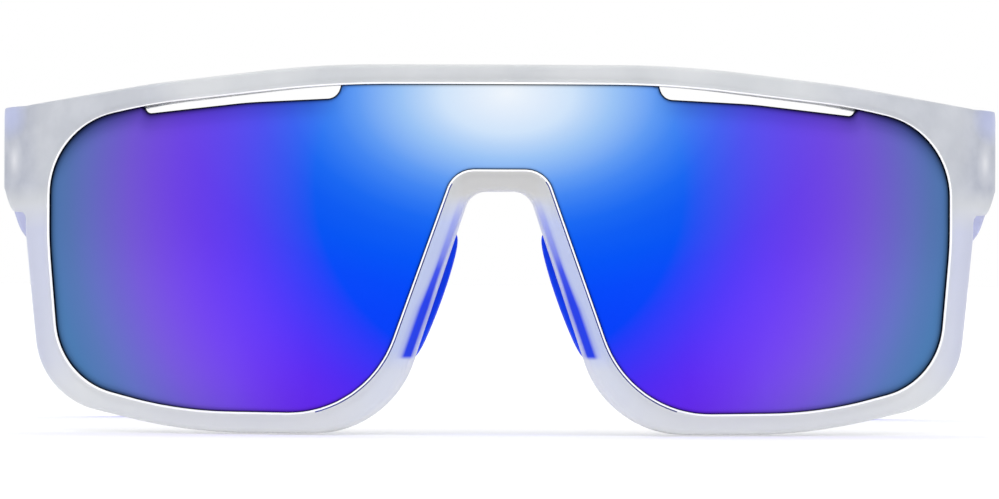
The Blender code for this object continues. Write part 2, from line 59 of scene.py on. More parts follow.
# Outlines: (x, z, fillet radius). Elevation ones are seen from the front, the tab is flat.
OPENING = [(0.0, 49.8, 0.0), (24.0, 49.8, 150.0), (50.0, 46.95, 80.0),
           (65.2, 43.7, 12.0), (65.2, 27.0, 60.0), (63.5, 7.5, 11.0), (46.0, 3.05, 60.0),
           (18.95, 2.8, 16.0), (6.5, 37.65, 4.0), (0.0, 37.65, 0.0)]
OUTSIDE_TOP = [(0.0, 52.6, 0.0), (26.0, 52.6, 150.0), (50.0, 49.95, 120.0),
               (68.9, 46.9, 0.0)]
OUTSIDE_TAB = [(77.1, 46.85, 0.0), (92.3, 46.3, 0.5), (92.3, 35.3, 0.5),
               (84.0, 34.7, 3.0), (80.3, 31.5, 1.8), (77.1, 31.4, 1.0), (77.06, 28.6, 0.0)]
OUTSIDE_LOW = [(68.9, 28.4, 0.0), (66.45, 4.75, 11.2), (45.0, 0.0, 80.0),
               (16.45, 0.0, 15.0), (4.35, 34.5, 3.2), (0.0, 34.5, 0.0)]
# Rough places (opening x and z, outside length and z) that face each other across the rim,
# with the number of steps from the place before.
FACING = [((0.0, 49.8), (0.0, 52.6), 0), ((24.0, 49.7), (26.0, 52.4), 16),
          ((54.5, 46.0), (62.5, 48.7), 24), ((61.0, 43.15), (86.0, 46.5), 24),
          ((62.9, 41.05), (92.3, 46.3), 8), ((65.05, 36.0), (92.3, 35.3), 14),
          ((65.2, 33.4), (81.2, 33.4), 12), ((65.2, 31.2), (77.7, 31.4), 12),
          ((65.2, 27.0), (76.9, 27.2), 8), ((64.2, 15.3), (74.8, 15.0), 14),
          ((61.6, 9.1), (70.6, 6.8), 12), ((56.0, 5.6), (60.7, 2.8), 12),
          ((43.0, 3.05), (45.0, 0.4), 16), ((30.3, 2.9), (30.8, 0.0), 14),
          ((21.1, 5.8), (18.9, 2.5), 12), ((15.2, 13.6), (12.1, 12.5), 12),
          ((7.6, 34.6), (4.95, 32.8), 30), ((6.0, 36.9), (3.9, 33.9), 8),
          ((0.0, 37.65), (0.0, 34.5), 8)]
ACROSS_STEPS = 22
ROUND_STEPS = 5

RIM_DEPTH = 4.4
NOSE_DEPTH = 6.0
NOSE_DEPTH_FULL = 12.0
NOSE_DEPTH_FROM = 20.0
TAB_DEPTH = 3.8
TAB_THIN_FROM = 74.0
TAB_THIN_TO = 82.0
GROOVE = (1.1, 2.7, 1.3)        # front wall, back wall, how deep across the rim
GROOVE_MOUTH = 0.3              # extra points this far into the groove, on both its walls
INNER_WALL = 0.12               # depth where the inner wall meets the bevel of painted highlight
BEVEL = 0.10                    # how far its steep part reaches across the rim
LINE = (0.26, 0.44)             # where the dark line of painted shade runs along the nose legs, across the rim
BACK_LIP_ROUND = 0.4
RIM_ROUND = 0.7
TAB_ROUND = 0.75
HINGE_END_ROUND = 0.3
TAB_ROUND_SPAN = (74.0, 80.0)   # lengths over which the rim's rounding turns to the tab's,
HINGE_ROUND_SPAN = (89.0, 92.0)  # and the tab's to that of its end
RIM_CROWN = 0.16
FULL_CROWN_WIDTH = 4.0          # a narrower rim is crowned less
LEG_FROM = 26.0                 # a nose leg is nearer the middle than this,
LEG_TOP = 36.0                  # and lower than this
DARK_WALL_FROM = 50.0           # beyond this length the rim's inner wall is dark with painted shade
# Kinds of face on the front, numbered as its materials are; the bevel is a painted highlight,
# the leg line and the dark wall are painted shade
SKIN, BEVEL_HIGHLIGHT, LEG_SHADE_LINE, DARK_WALL = range(4)

LENS_FRONT = 0.45
LENS_BACK = 2.4
# Lens edge as (shift from the opening, depth): a bevel, a short wall, then the tongue
LENS_EDGE = [(-0.38, 0.15), (-0.04, 0.49), (-0.04, 1.4), (1.0, 1.4), (1.0, 3.0)]
# Edge of a vent notch as (shift from its outline, depth): a bevel, then a straight wall
NOTCH_EDGE = [(0.45, 0.15), (0.0, 0.6), (0.0, 3.0)]
LENS_CELL = 0.8
LENS_SHEET = (-1.0, 54.0)       # heights between which the uncut sheet lies,
LENS_SPARE = 2.0                # and how far it goes past the opening at each side
FRONT_TOLERANCE = 0.01          # faces this close to the sheet's front belong to it
VENT_NOTCH = [(21.6, 53.0, 0.0), (23.2, 47.75, 1.9), (36.0, 47.15, 60.0),
              (50.4, 45.6, 0.8), (54.6, 52.4, 0.0)]

LEG_CENTRE = (11.0, 19.6)
LEG_LEAN = math.radians(19.3)
PAD_LENGTH = 19.4
PAD_SECTION = [(-0.9, 0.0), (0.2, -0.05), (0.75, 0.0), (0.98, 0.3), (1.05, 1.0),
               (1.0, 2.6), (0.8, 4.0), (0.55, 5.4), (0.3, 6.7), (0.0, 7.35), (-0.4, 7.7),
               (-0.9, 7.5), (-1.1, 7.0), (-0.95, 5.8), (-0.8, 4.6), (-1.0, 3.2),
               (-1.2, 1.8), (-1.2, 0.6)]
PAD_PROUD = 1.0                 # how far the pad's face bows out towards the nose,
PAD_PROUD_AT = 0.22             # and where most, from -1 at its lower end to 1 at its upper
PAD_FACE_FROM = 0.9             # across the pad, all beyond this is its face
PAD_SHIFT = 0.2                 # how far its middle lies above the leg's
PAD_END_SIZE = 0.2
PAD_END_POWER = 9               # how squarely its ends close
PAD_LEAN = 1.4                  # its upper end stands this much further behind the leg,
PAD_LEAN_FROM = -0.6            # from this place along it on,
PAD_LEAN_REACH = 8.0            # and less towards its back: not at all this far back
PAD_STEPS = 48
PAD_GAP = 0.25
CORE_ACROSS = 0.45              # the pad's rubber core lies this far towards the nose,
CORE_SEEN_AT = 0.88             # and shows through the leg's face here, bent by the nylon
# The core, under the leg's face: (along, width, depth of its front)
CORE = [(-9.3, 0.60, 0.45), (-9.0, 0.95, 0.35), (-3.8, 1.20, 0.35), (0.5, 1.20, 0.35),
        (3.0, 1.00, 0.45), (4.7, 0.80, 0.60), (7.5, 0.60, 1.20), (9.5, 0.45, 2.40),
        (12.0, 0.40, 3.60)]
CORE_BACK = 6.1
CORE_EASE = 0.25                # how far back its front edges are eased,
CORE_EASE_SLANT = 0.6           # and this much of it across

ARM_SLOPE = math.radians(9.0)
ARM_START_Y = -39.7
ARM_CENTRE_Z = 40.7
ARM_STRAIGHT = 83.27
EAR_RADIUS = 45.0
EAR_TURN = math.radians(34.0)
EAR_TAIL = 22.3
ARM_THICKNESS = 3.8
ARM_HEIGHTS = [(0.0, 11.2), (15.0, 11.9), (45.0, 10.6), (60.0, 9.3), (80.0, 7.8), (160.0, 7.6)]
INWARD_FROM = 35.0              # this far behind its start the arm begins to bow inwards,
INWARD_BOW = 13.0               # by this much at its end
UPRIGHT_OVER = 12.0             # the arm's sections tilt from upright to square over this
SLEEVE_START = 66.0
SLEEVE_GAP = 0.3
SLEEVE_WALL = (0.45, 0.35)      # how far it stands proud of the arm: in height, in thickness
TIP_ROUND = 4.2
TIP_FLATTEN = 0.3               # the sleeve's thickness at its very end, as a share
ARM_ROUND = 0.7
ARM_END_EASE = 0.3
ARM_STEP = 1.0
STUB = (0.9, 2.3, 0.5)          # the arm's stub: half thickness, half height, rounding
STUB_LENGTH = 6.0
SOCKET = (1.15, 2.55, 0.6)      # the sleeve's hollow for it, in the same terms
SOCKET_LENGTH = 8.0
MOUTH_EASE = 0.35               # how far the sleeve's mouth is eased,
MOUTH_LENGTH = 1.2              # and over what length
SLEEVE_ROUND = 1.5
SLEEVE_ROUND_LEAST = 0.15
TIP_RING_DEGREES = 8            # turn between the rings of the rounded tip
GRIP_FROM = 92.0                # ribs moulded on the inner side of the sleeve
GRIP_TO = 124.0
GRIP_PITCH = 2.0
GRIP_DEPTH = 0.16
GRIP_FADE = 3.0

HINGE_EASE = 0.08               # bevel on the edges of the steel parts
FLOOR_DROP = 0.2                # the floor lies this far under the lowest points

# Camera: level with the middle of the front, far away with a long lens
CAMERA_DISTANCE = 1500.0
CAMERA_HEIGHT = 26.3
CAMERA_LENS = 381.0
CAMERA_ROLL = math.radians(-0.23)


# ---------------------------------------------------------------- plain helpers

def mix(a, b, t):
    return a + (b - a) * t


def smooth_step(value, low, high):
    t = min(max((value - low) / (high - low), 0.0), 1.0)
    return t * t * (3.0 - 2.0 * t)


def read_table(table, value):
    """Straight-line reading of a short list of (place, size) pairs."""
    for (low, a), (high, b) in zip(table, table[1:]):
        if value <= high:
            return mix(a, b, max(value - low, 0.0) / (high - low))
    return table[-1][1]


def new_object(name, bm, material):
    bmesh.ops.recalc_face_normals(bm, faces=bm.faces)
    mesh = bpy.data.meshes.new(name)
    bm.to_mesh(mesh)
    bm.free()
    mesh.shade_smooth()
    mesh.materials.append(material)
    obj = bpy.data.objects.new(name, mesh)
    bpy.context.scene.collection.objects.link(obj)
    return obj


def loft(name, rings, material, closed=False, sharp=40.0):
    """A skin over rings of points in millimetres; closed joins the last to the first."""
    bm = bmesh.new()
    layers = [[bm.verts.new(Vector(point) * MM) for point in ring] for ring in rings]
    spans = list(zip(layers, layers[1:]))
    if closed:
        spans.append((layers[-1], layers[0]))
    else:
        bm.faces.new(layers[0])
        bm.faces.new(layers[-1])
    for near, far in spans:
        for i in range(len(near)):
            j = (i + 1) % len(near)
            bm.faces.new((near[i], near[j], far[j], far[i]))
    obj = new_object(name, bm, material)
    obj.data.set_sharp_from_angle(angle=math.radians(sharp))
    return obj


def stand_for(piece, body, node):
    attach(piece, body)
    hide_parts(node)
    return piece


# ---------------------------------------------------------------- the wrap

CORNER_ANGLE = math.asin((HALF_WIDTH - CORNER_RADIUS) / (WRAP_RADIUS - CORNER_RADIUS))
CORNER_X = HALF_WIDTH - CORNER_RADIUS
CORNER_Y = WRAP_RADIUS - (WRAP_RADIUS - CORNER_RADIUS) * math.cos(CORNER_ANGLE)
CORNER_FROM = WRAP_RADIUS * CORNER_ANGLE
CORNER_TO = CORNER_FROM + CORNER_RADIUS * (math.pi / 2 - CORNER_ANGLE)


def plan_path(length):
    """Place on the outer face in plan, and the way the face looks, at a length."""
    if length < CORNER_FROM:
        angle = length / WRAP_RADIUS
        return (WRAP_RADIUS * math.sin(angle), WRAP_RADIUS * (1 - math.cos(angle)), angle)
    if length < CORNER_TO:
        angle = CORNER_ANGLE + (length - CORNER_FROM) / CORNER_RADIUS
        return (CORNER_X + CORNER_RADIUS * math.sin(angle),
                CORNER_Y - CORNER_RADIUS * math.cos(angle), angle)
    return (HALF_WIDTH, CORNER_Y + length - CORNER_TO, math.pi / 2)


def brow_length(x):
    """Length along the brow of a point seen at x from the front."""
    return WRAP_RADIUS * math.asin(x / WRAP_RADIUS)


def wrap(flat):
    """Roll a flat point (length, depth, height) in millimetres round the face."""
    length, depth, height = flat
    x, y, angle = plan_path(abs(length))
    bulge = (height - MID_HEIGHT) ** 2 / (2 * UPRIGHT_RADIUS)
    bulge *= 1 - smooth_step(abs(length), BULGE_FADE_START, CORNER_TO)
    x -= depth * math.sin(angle)
    y += depth * math.cos(angle) + bulge
    return Vector((math.copysign(x, length), FRONT_Y + y, height))


# ---------------------------------------------------------------- outlines

def fillet(before, corner, after, radius, steps=16):
    """Points of the arc that rounds a corner, ends included."""
    corner = Vector(corner)
    back = (Vector(before) - corner).normalized()
    ahead = (Vector(after) - corner).normalized()
    half_angle = back.angle(ahead) / 2
    reach = radius / math.tan(half_angle)
    centre = corner + (back + ahead).normalized() * radius / math.sin(half_angle)
    start = corner + back * reach - centre
    sweep = start.angle_signed(corner + ahead * reach - centre)
    return [centre + Matrix.Rotation(-sweep * i / steps, 2) @ start
            for i in range(steps + 1)]


def rounded_path(corners, step=0.25):
    """A fine polyline through corners (x, z, radius), rounded where a radius is given."""
    places = [corner[:2] for corner in corners]
    path = [Vector(places[0])]
    for i, (_, _, radius) in enumerate(corners[1:], start=1):
        arc = [Vector(places[i])]
        if radius > 0.0:
            arc = fillet(places[i - 1], places[i], places[i + 1], radius)
        count = max(round((arc[0] - path[-1]).length / step), 1)
        start = path[-1]
        path += [start.lerp(arc[0], k / count) for k in range(1, count)]
        path += arc
    return path


def flatten(path):
    return [Vector((brow_length(point.x), point.y)) for point in path]


def nearest(path, place):
    return min(range(len(path)), key=lambda i: (path[i] - Vector(place)).length)


def resample(path, count):
    """A polyline cut into count equal steps, without its first point."""
    marks = [0.0]
    for a, b in zip(path, path[1:]):
        marks.append(marks[-1] + (b - a).length)
    points = []
    i = 0
    for k in range(1, count + 1):
        goal = marks[-1] * k / count
        while i < len(marks) - 2 and marks[i + 1] < goal:
            i += 1
        share = (goal - marks[i]) / max(marks[i + 1] - marks[i], 1e-9)
        points.append(path[i].lerp(path[i + 1], min(share, 1.0)))
    return points


def facing_outlines():
    """The lens opening and the frame's outside, flat, with the points facing in pairs."""
    inner = flatten(rounded_path(OPENING))
    outer = flatten(rounded_path(OUTSIDE_TOP)) + rounded_path(OUTSIDE_TAB)
    outer += flatten(rounded_path(OUTSIDE_LOW))
    inner_points, outer_points = [inner[0]], [outer[0]]
    i = j = 0
    for (x, z), outside, steps in FACING[1:]:
        i_next = nearest(inner, (brow_length(x), z))
        j_next = nearest(outer, outside)
        inner_points += resample(inner[i:i_next + 1], steps)
        outer_points += resample(outer[j:j_next + 1], steps)
        i, j = i_next, j_next
    return mirrored(inner_points), mirrored(outer_points)


def mirrored(half):
    """A half outline from the centre line to the centre line, made whole."""
    other = [Vector((-point.x, point.y)) for point in reversed(half[1:-1])]
    return half + other


INNER, OUTER = facing_outlines()


# ---------------------------------------------------------------- front frame

def rim_depth(length):
    """How thick the frame is at a length along the brow."""
    length = abs(length)
    nose = 1 - smooth_step(length, NOSE_DEPTH_FULL, NOSE_DEPTH_FROM)
    tab = smooth_step(length, TAB_THIN_FROM, TAB_THIN_TO)
    return mix(RIM_DEPTH, NOSE_DEPTH, nose) + (TAB_DEPTH - RIM_DEPTH) * tab


def quarter(radius, start, steps=ROUND_STEPS):
    """Offsets of a quarter turn from a start angle, in quarter turns."""
    angles = [(start + k / steps) * math.pi / 2 for k in range(steps + 1)]
    return [(radius * math.cos(a), radius * math.sin(a)) for a in angles]


def rim_section(width, outer_round):
    """Closed section as (across the rim, depth from the front, depth from the back, kind).

    A point uses its depth from the front, unless that is None. The kind is that of the
    face that follows the point: skin, the bevel with painted highlight, the line of painted
    shade on the legs, or the inner wall, dark with painted shade.
    """
    front_wall, back_wall, groove = GROOVE
    section = [(groove, front_wall, None, SKIN), (GROOVE_MOUTH, front_wall, None, SKIN),
               (0.0, front_wall, None, DARK_WALL), (0.0, INNER_WALL, None, BEVEL_HIGHLIGHT),
               (BEVEL, INNER_WALL - BEVEL, None, BEVEL_HIGHLIGHT), (LINE[0], 0.0, None, LEG_SHADE_LINE),
               (LINE[1], 0.0, None, SKIN)]
    near, far = LINE[1], width - outer_round
    for k in range(1, ACROSS_STEPS):
        section.append((mix(near, far, k / ACROSS_STEPS), 0.0, None, SKIN))
    section += [(far + a, outer_round - b, None, SKIN)
                for a, b in reversed(quarter(outer_round, 0))]
    section += [(far + a, None, outer_round + b, SKIN)
                for a, b in reversed(quarter(outer_round, 3))]
    for k in range(1, ACROSS_STEPS):
        section.append((mix(far, BACK_LIP_ROUND, k / ACROSS_STEPS), None, 0.0, SKIN))
    section += [(BACK_LIP_ROUND + a, None, BACK_LIP_ROUND + b, SKIN)
                for a, b in reversed(quarter(BACK_LIP_ROUND, 2))]
    section += [(0.0, back_wall, None, SKIN), (GROOVE_MOUTH, back_wall, None, SKIN),
                (groove, back_wall, None, SKIN)]
    return section


def outer_rounding(point):
    """Edge radius at a point of the outside: small where the arm butts on."""
    length = abs(point.x)
    radius = mix(RIM_ROUND, TAB_ROUND, smooth_step(length, *TAB_ROUND_SPAN))
    return mix(radius, HINGE_END_ROUND, smooth_step(length, *HINGE_ROUND_SPAN))


def crown(across, width):
    """How far the front face falls away towards the rim's edges."""
    centred = 2 * across / width - 1
    return RIM_CROWN * centred ** 4 * min(width / FULL_CROWN_WIDTH, 1.0)


def kinds_shown(inner):
    """Kinds of face that differ from the skin at a point of the opening."""
    if abs(inner.x) < LEG_FROM and inner.y < LEG_TOP:
        return {BEVEL_HIGHLIGHT, LEG_SHADE_LINE}
    if abs(inner.x) > DARK_WALL_FROM:
        return {BEVEL_HIGHLIGHT, DARK_WALL}
    return {BEVEL_HIGHLIGHT}


def make_frame(skin, bevel_highlight, line, wall):
    """The whole front as one closed ring of rim sections, from the opening to the outside."""
    rings = []
    kinds = []
    from_edge = []
    for inner, outer in zip(INNER, OUTER):
        width = (outer - inner).length
        shown = kinds_shown(inner)
        ring = []
        for across, front, back, kind in rim_section(width, outer_rounding(outer)):
            spot = inner.lerp(outer, across / width)
            if front is None:
                depth = rim_depth(spot.x) - back
            else:
                depth = front + crown(min(max(across, 0.0), width), width)
            ring.append(wrap((spot.x, depth, spot.y)))
            kinds.append(kind if kind in shown else SKIN)
            from_edge.append(min(across, width - across))
        rings.append(ring)
    frame_shell = loft("frame_shell", rings, skin, closed=True, sharp=32.0)
    for material in (bevel_highlight, line, wall):
        frame_shell.data.materials.append(material)
    for polygon, kind in zip(frame_shell.data.polygons, kinds):
        polygon.material_index = kind
    distances = frame_shell.data.attributes.new("edge_distance", "FLOAT", "POINT")
    distances.data.foreach_set("value", from_edge)
    return stand_for(frame_shell, "front", "front_frame")


# ---------------------------------------------------------------- lens

def shifted(outline, distance):
    """A closed outline with every point moved to the left of its direction."""
    moved = []
    for i, point in enumerate(outline):
        along = (outline[(i + 1) % len(outline)] - outline[i - 1]).normalized()
        moved.append(point + Vector((-along.y, along.x)) * distance)
    return moved


def cut(obj, cutter, operation):
    modifier = obj.modifiers.new(operation.lower(), "BOOLEAN")
    modifier.operation = operation
    modifier.solver = "EXACT"
    modifier.object = cutter
    depsgraph = bpy.context.evaluated_depsgraph_get()
    mesh = bpy.data.meshes.new_from_object(obj.evaluated_get(depsgraph))
    obj.modifiers.clear()
    obj.data = mesh
    bpy.data.objects.remove(cutter)


def lens_sheet(material):
    """A flat sheet of small cells, a little larger than the lens."""
    half_length = max(point.x for point in INNER) + LENS_SPARE
    low, high = LENS_SHEET
    bm = bmesh.new()
    grid = bmesh.ops.create_grid(bm, x_segments=round(2 * half_length / LENS_CELL),
                                 y_segments=round((high - low) / LENS_CELL), size=0.5)
    for vertex in grid["verts"]:
        vertex.co = Vector((vertex.co.x * 2 * half_length, LENS_FRONT,
                            mix(low, high, vertex.co.y + 0.5))) * MM
    push = bmesh.ops.extrude_face_region(bm, geom=bm.faces[:])
    moved = [item for item in push["geom"] if isinstance(item, bmesh.types.BMVert)]
    bmesh.ops.translate(bm, verts=moved, vec=Vector((0.0, LENS_BACK - LENS_FRONT, 0.0)) * MM)
    return new_object("shield", bm, material)


def note_edge_distance(mesh):
    """Store how far each point lies from the edge of the coated face, in millimetres."""
    kinds = [set() for _ in mesh.vertices]
    for polygon in mesh.polygons:
        for i in polygon.vertices:
            kinds[i].add(polygon.material_index)
    edge = [vertex.co for vertex, kind in zip(mesh.vertices, kinds) if len(kind) == 2]
    tree = KDTree(len(edge))
    for i, place in enumerate(edge):
        tree.insert(place, i)
    tree.balance()
    distances = mesh.attributes.new("edge_distance", "FLOAT", "POINT")
    for vertex, stored in zip(mesh.vertices, distances.data):
        stored.value = tree.find(vertex.co)[2] / MM


def notch_ring(side, notch, shift, depth):
    """A ring of a vent notch's cutter, slid outwards so that the walls run straight back."""
    ring = []
    for point in shifted(notch, -shift):
        slope = math.tan(plan_path(point.x)[2])
        ring.append((side * (point.x + depth * slope), depth, point.y))
    return ring


def make_lens(mirror, smoke):
    """The lens, cut from a flat sheet by its outline and the notches, then wrapped."""
    lens = lens_sheet(mirror)
    rings = [[(point.x, depth, point.y) for point in shifted(INNER, shift)]
             for shift, depth in LENS_EDGE]
    cut(lens, loft("lens_outline", rings, mirror), "INTERSECT")
    notch = flatten(rounded_path(VENT_NOTCH))
    for side in (1, -1):
        rings = [notch_ring(side, notch, shift, depth) for shift, depth in NOTCH_EDGE]
        cut(lens, loft("vent_notch", rings, mirror), "DIFFERENCE")
    mesh = lens.data
    mesh.materials.clear()
    mesh.materials.append(mirror)
    mesh.materials.append(smoke)
    front = (LENS_FRONT + FRONT_TOLERANCE) * MM
    for polygon in mesh.polygons:
        flat = all(mesh.vertices[i].co.y < front for i in polygon.vertices)
        polygon.material_index = 0 if flat else 1
    note_edge_distance(mesh)
    for vertex in mesh.vertices:
        vertex.co = wrap(vertex.co / MM) * MM
    mesh.shade_smooth()
    mesh.set_sharp_from_angle(angle=math.radians(30.0))
    return stand_for(lens, "front", "shield_lens")


# ---------------------------------------------------------------- nose pads

def leg_point(side, across, depth, along):
    """Flat point in a nose leg's own axes: across is positive towards the nose."""
    x = LEG_CENTRE[0] - across * math.cos(LEG_LEAN) - along * math.sin(LEG_LEAN)
    z = LEG_CENTRE[1] - across * math.sin(LEG_LEAN) + along * math.cos(LEG_LEAN)
    return (side * x, depth, z)


def pad_core(side, material):
    """The rubber core moulded into a nose leg, from the pad to just under the leg's face."""
    rings = []
    for along, width, front in CORE:
        half = width / 2
        ease = min(half, CORE_EASE)
        face = half - ease * CORE_EASE_SLANT
        section = [(-half, CORE_BACK), (-half, front + ease), (-face, front),
                   (face, front), (half, front + ease), (half, CORE_BACK)]
        rings.append([wrap(leg_point(side, CORE_ACROSS + across, depth, along))
                      for across, depth in section])
    return loft("pad_core", rings, material, sharp=60.0)


def join(target, extra):
    """Add the other object's mesh to the target's, and drop the other object."""
    bm = bmesh.new()
    bm.from_mesh(target.data)
    bm.from_mesh(extra.data)
    bm.to_mesh(target.data)
    bm.free()
    bpy.data.objects.remove(extra)


def make_pad(word, side, material):
    """A soft pad along a nose leg, with its core."""
    rings = []
    for step in range(PAD_STEPS + 1):
        along = -math.cos(math.pi * step / PAD_STEPS)
        size = mix(PAD_END_SIZE, 1.0, math.sqrt(max(1 - abs(along) ** PAD_END_POWER, 0.0)))
        proud = PAD_PROUD * (1 - ((along - PAD_PROUD_AT) / (1 + PAD_PROUD_AT)) ** 2)
        sunk = PAD_LEAN * smooth_step(along, PAD_LEAN_FROM, 1.0)
        ring = []
        for across, back in PAD_SECTION:
            shift = proud * smooth_step(across, 0.0, PAD_FACE_FROM)
            depth = NOSE_DEPTH + PAD_GAP + sunk * (1 - back / PAD_LEAN_REACH) + back * size
            ring.append(wrap(leg_point(side, across * size + shift, depth,
                                       along * PAD_LENGTH / 2 + PAD_SHIFT)))
        rings.append(ring)
    pad = loft("soft_nose_pad_" + word, rings, material, sharp=60.0)
    join(pad, pad_core(side, material))
    return stand_for(pad, "front", "nose_pad_" + word)


# ---------------------------------------------------------------- temples

ARM_LENGTH = ARM_STRAIGHT + EAR_RADIUS * EAR_TURN + EAR_TAIL


def arm_spine(length):
    """(distance back, height, downward angle) of the arm's centre line."""
    run = min(length, ARM_STRAIGHT)
    y = run * math.cos(ARM_SLOPE)
    z = ARM_CENTRE_Z - run * math.sin(ARM_SLOPE)
    turned = min(max(length - ARM_STRAIGHT, 0.0) / EAR_RADIUS, EAR_TURN)
    angle = ARM_SLOPE + turned
    y += EAR_RADIUS * (math.sin(angle) - math.sin(ARM_SLOPE))
    z -= EAR_RADIUS * (math.cos(ARM_SLOPE) - math.cos(angle))
    tail = max(length - ARM_STRAIGHT - EAR_RADIUS * EAR_TURN, 0.0)
    return y + tail * math.cos(angle), z - tail * math.sin(angle), angle


ARM_REACH = arm_spine(ARM_LENGTH)[0] - INWARD_FROM


def rounded_rectangle(half_a, half_b, radius, steps=6, sides=5):
    """Closed ring of (a, b) points with rounded corners and evenly cut sides."""
    arcs = []
    for turn, (sign_a, sign_b) in enumerate([(1, 1), (-1, 1), (-1, -1), (1, -1)]):
        arcs.append([Vector((sign_a * (half_a - radius) + a, sign_b * (half_b - radius) + b))
                     for a, b in quarter(radius, turn, steps)])
    points = []
    for arc, following in zip(arcs, arcs[1:] + arcs[:1]):
        points += arc
        points += [arc[-1].lerp(following[0], k / sides) for k in range(1, sides)]
    return points


def arm_ring(side, length, half_thickness, half_height, radius, inner_dent=0.0):
    """A rounded section across the arm at a length along it, never below the ground."""
    y, z, angle = arm_spine(length)
    angle *= smooth_step(length, 0.0, UPRIGHT_OVER)
    inward = INWARD_BOW * (max(y - INWARD_FROM, 0.0) / ARM_REACH) ** 2
    x = HALF_WIDTH - ARM_THICKNESS / 2 - inward
    ring = []
    for a, b in rounded_rectangle(half_thickness, half_height, radius):
        if a < 0.0:
            a += inner_dent * (1 - (b / half_height) ** 2)
        ring.append((side * (x + a), ARM_START_Y + y + b * math.sin(angle),
                     max(z + b * math.cos(angle), 0.0)))
    return ring


def lengths(start, end):
    count = max(round((end - start) / ARM_STEP), 1)
    return [mix(start, end, i / count) for i in range(count + 1)]


def make_arm(word, side, material):
    """The arm up to the sleeve, with its front end eased, and a stub that enters the sleeve."""
    rings = []
    ease = ARM_END_EASE
    for length in [0.0, ease / 2] + lengths(ease, SLEEVE_START - ease) + [SLEEVE_START]:
        inset = 0.0
        if length < ease:
            inset = ease - math.sqrt(ease ** 2 - (ease - length) ** 2)
        rings.append(arm_ring(side, length, ARM_THICKNESS / 2 - inset,
                              read_table(ARM_HEIGHTS, length) / 2 - inset, ARM_ROUND))
    rings += [arm_ring(side, SLEEVE_START, *STUB),
              arm_ring(side, SLEEVE_START + STUB_LENGTH, *STUB)]
    arm = loft("arm_shell_" + word, rings, material)
    return stand_for(arm, "temple_" + word, "temple_arm_" + word)


def make_tip(word, side, material):
    """A rubber sleeve with moulded grip ribs, open for the arm's stub."""
    end = ARM_LENGTH - TIP_ROUND
    rings = [arm_ring(side, length, *SOCKET)
             for length in (SLEEVE_START + SOCKET_LENGTH, SLEEVE_START + SLEEVE_GAP)]
    places = [(length, 1.0) for length in lengths(SLEEVE_START + SLEEVE_GAP, end)]
    for degrees in range(TIP_RING_DEGREES, 90, TIP_RING_DEGREES):
        turn = math.radians(degrees)
        places.append((end + TIP_ROUND * math.sin(turn), math.cos(turn)))
    for length, size in places:
        ease = MOUTH_EASE * (1 - smooth_step(length, SLEEVE_START, SLEEVE_START + MOUTH_LENGTH))
        half_height = read_table(ARM_HEIGHTS, length) / 2 + SLEEVE_WALL[0] - ease
        half_thickness = ARM_THICKNESS / 2 + SLEEVE_WALL[1] - ease
        rounding = max(SLEEVE_ROUND * size, SLEEVE_ROUND_LEAST)
        rings.append(arm_ring(side, length, half_thickness * mix(TIP_FLATTEN, 1.0, size),
                              half_height * size, rounding, grip(length)))
    tip = loft("sleeve_" + word, rings, material)
    return stand_for(tip, "temple_" + word, "temple_tip_" + word)


def grip(length):
    """Depth of the moulded ribs at a length along the sleeve."""
    fade = smooth_step(length, GRIP_FROM, GRIP_FROM + GRIP_FADE)
    fade *= 1 - smooth_step(length, GRIP_TO - GRIP_FADE, GRIP_TO)
    wave = 0.5 - 0.5 * math.cos(2 * math.pi * (length - GRIP_FROM) / GRIP_PITCH)
    return GRIP_DEPTH * fade * wave


# ---------------------------------------------------------------- materials

def srgb(red, green, blue):
    """A colour given as 0 to 255 screen values, as linear light."""
    channels = [value / 255.0 for value in (red, green, blue)]
    return tuple(c / 12.92 if c <= 0.04045 else ((c + 0.055) / 1.055) ** 2.4
                 for c in channels)


WHITE = (1.0, 1.0, 1.0, 1.0)


